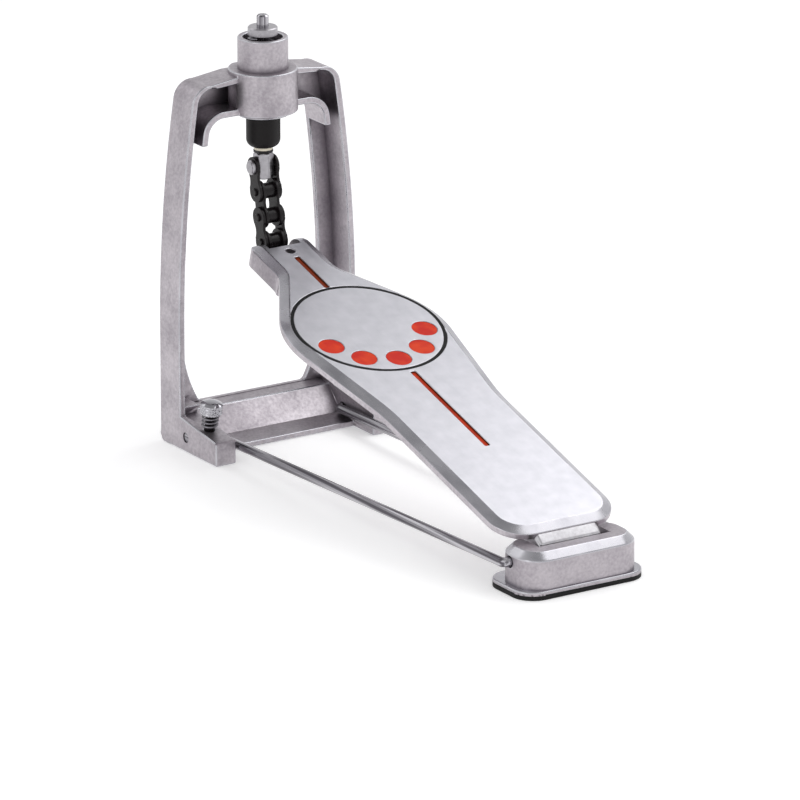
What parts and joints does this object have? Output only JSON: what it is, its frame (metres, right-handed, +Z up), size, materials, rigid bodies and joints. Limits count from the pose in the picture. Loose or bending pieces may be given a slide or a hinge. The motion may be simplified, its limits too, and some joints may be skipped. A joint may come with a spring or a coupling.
{
  "type": "hi-hat stand foot pedal unit",
  "caption": "Foot pedal unit of a hi-hat stand: a hinged metal footboard pulls a sprung rod down through a short chain, in a cast frame with rods to a heel block.",
  "frame": {"origin": "on the floor plane, under the vertical axis of the pull rod", "axes": "+Z up along the pull rod, +Y from the heel block towards the cast frame and away from the player, +X to the player's right"},
  "size_m": [0.1046, 0.3069, 0.217],
  "materials": {
    "cast_aluminium": "tumbled satin casting",
    "brushed_aluminium": "brushed, with polished bevels",
    "plated_steel": "satin plated",
    "chrome_plate": "bright plated",
    "nickel": "satin nickel",
    "black_steel": "black oxide, soft sheen",
    "black_rubber": "matte",
    "black_plastic": "matte",
    "black_inlay": "matte filled line",
    "red_inlay": "smooth inlay",
    "stripe_inlay": "painted groove",
    "cream_nylon": "matte"
  },
  "bodies": {
    "frame": {"frame_casting": "cast_aluminium", "guide_bush": "black_plastic", "radius_rod_left": "plated_steel", "radius_rod_right": "plated_steel", "heel_casting": "cast_aluminium", "heel_rubber_pad": "black_rubber", "heel_pad_screws": "plated_steel", "heel_hinge_pin": "plated_steel", "heel_spacers": "black_plastic"},
    "footboard": {"footboard": "brushed_aluminium", "ring_inlay": "black_inlay", "dot_inlays": "red_inlay", "stripe_inlays": "stripe_inlay", "hinge_lug": "cast_aluminium", "hinge_lug_screws": "black_steel", "hinge_bushes": "black_plastic", "chain_clevis": "plated_steel", "clevis_set_screw": "black_steel", "toe_pin": "plated_steel"},
    "pull_rod": {"pull_rod": "plated_steel", "rod_coupling": "nickel", "coupling_pin": "nickel", "coupling_pin_clip": "black_steel", "lock_nut": "plated_steel", "rod_washer": "cream_nylon", "rod_bumper": "black_rubber", "spring_nut": "plated_steel", "return_spring": "plated_steel"},
    "chain_link_1": {"chain_link_1_plates": "black_steel", "chain_link_1_pin": "black_steel"},
    "chain_link_2": {"chain_link_2_plates": "black_steel", "chain_link_2_bushes": "black_steel"},
    "chain_link_3": {"chain_link_3_plates": "black_steel", "chain_link_3_pins": "black_steel"},
    "chain_link_4": {"chain_link_4_plates": "black_steel", "chain_link_4_bushes": "black_steel"},
    "roller_1": {"chain_roller_1": "black_steel"},
    "roller_2": {"chain_roller_2": "black_steel"},
    "roller_3": {"chain_roller_3": "black_steel"},
    "roller_4": {"chain_roller_4": "black_steel"},
    "spur_left": {"spur_screw_left": "chrome_plate", "spur_spring_left": "plated_steel"},
    "spur_right": {"spur_screw_right": "chrome_plate", "spur_spring_right": "plated_steel"}
  },
  "joints": [
    {"name": "footboard_hinge", "type": "hinge", "parent": "frame", "child": "footboard", "pos_m": [0, -0.2725, 0.015], "axis": [1, 0, 0], "range_deg": [-5.2, 0]},
    {"name": "pull_rod_slide", "type": "slide", "parent": "frame", "child": "pull_rod", "axis": [0, 0, 1], "range_m": [-0.0232, 0], "stiffness_N_per_m": 1200, "springref_m": 0.009, "deforming": ["return_spring"]},
    {"name": "chain_joint_1", "type": "hinge", "parent": "pull_rod", "child": "chain_link_1", "pos_m": [0, 0, 0.1389], "axis": [1, 0, 0], "range_deg": [0, 5.6]},
    {"name": "chain_joint_2", "type": "hinge", "parent": "chain_link_1", "child": "chain_link_2", "pos_m": [0, -0.00242, 0.12643], "axis": [1, 0, 0], "range_deg": [0, 0.82]},
    {"name": "chain_joint_3", "type": "hinge", "parent": "chain_link_2", "child": "chain_link_3", "pos_m": [0, -0.00502, 0.114], "axis": [1, 0, 0], "range_deg": [0, 0.42]},
    {"name": "chain_joint_4", "type": "hinge", "parent": "chain_link_3", "child": "chain_link_4", "pos_m": [0, -0.0077, 0.10159], "axis": [1, 0, 0], "range_deg": [0, 0.42]},
    {"name": "roller_1_spin", "type": "hinge", "parent": "chain_link_2", "child": "roller_1", "pos_m": [0, -0.00242, 0.12643], "axis": [1, 0, 0], "continuous": true},
    {"name": "roller_2_spin", "type": "hinge", "parent": "chain_link_2", "child": "roller_2", "pos_m": [0, -0.00502, 0.114], "axis": [1, 0, 0], "continuous": true},
    {"name": "roller_3_spin", "type": "hinge", "parent": "chain_link_4", "child": "roller_3", "pos_m": [0, -0.0077, 0.10159], "axis": [1, 0, 0], "continuous": true},
    {"name": "roller_4_spin", "type": "hinge", "parent": "chain_link_4", "child": "roller_4", "pos_m": [0, -0.01047, 0.08919], "axis": [1, 0, 0], "continuous": true},
    {"name": "spur_left_travel", "type": "slide", "parent": "frame", "child": "spur_left", "axis": [0, -0.1736, 0.9848], "range_m": [-0.0025, 0], "deforming": ["spur_spring_left"]},
    {"name": "spur_right_travel", "type": "slide", "parent": "frame", "child": "spur_right", "axis": [0, -0.1736, 0.9848], "range_m": [-0.0025, 0], "deforming": ["spur_spring_right"]}
  ],
  "couplings": [
    {"joint": "pull_rod_slide", "follows": "footboard_hinge", "m_per_rad": 0.25551},
    {"joint": "chain_joint_1", "follows": "footboard_hinge", "ratio": -1.0665},
    {"joint": "chain_joint_2", "follows": "footboard_hinge", "ratio": -0.15385},
    {"joint": "chain_joint_3", "follows": "footboard_hinge", "ratio": -0.076923},
    {"joint": "chain_joint_4", "follows": "footboard_hinge", "ratio": -0.076923}
  ]
}
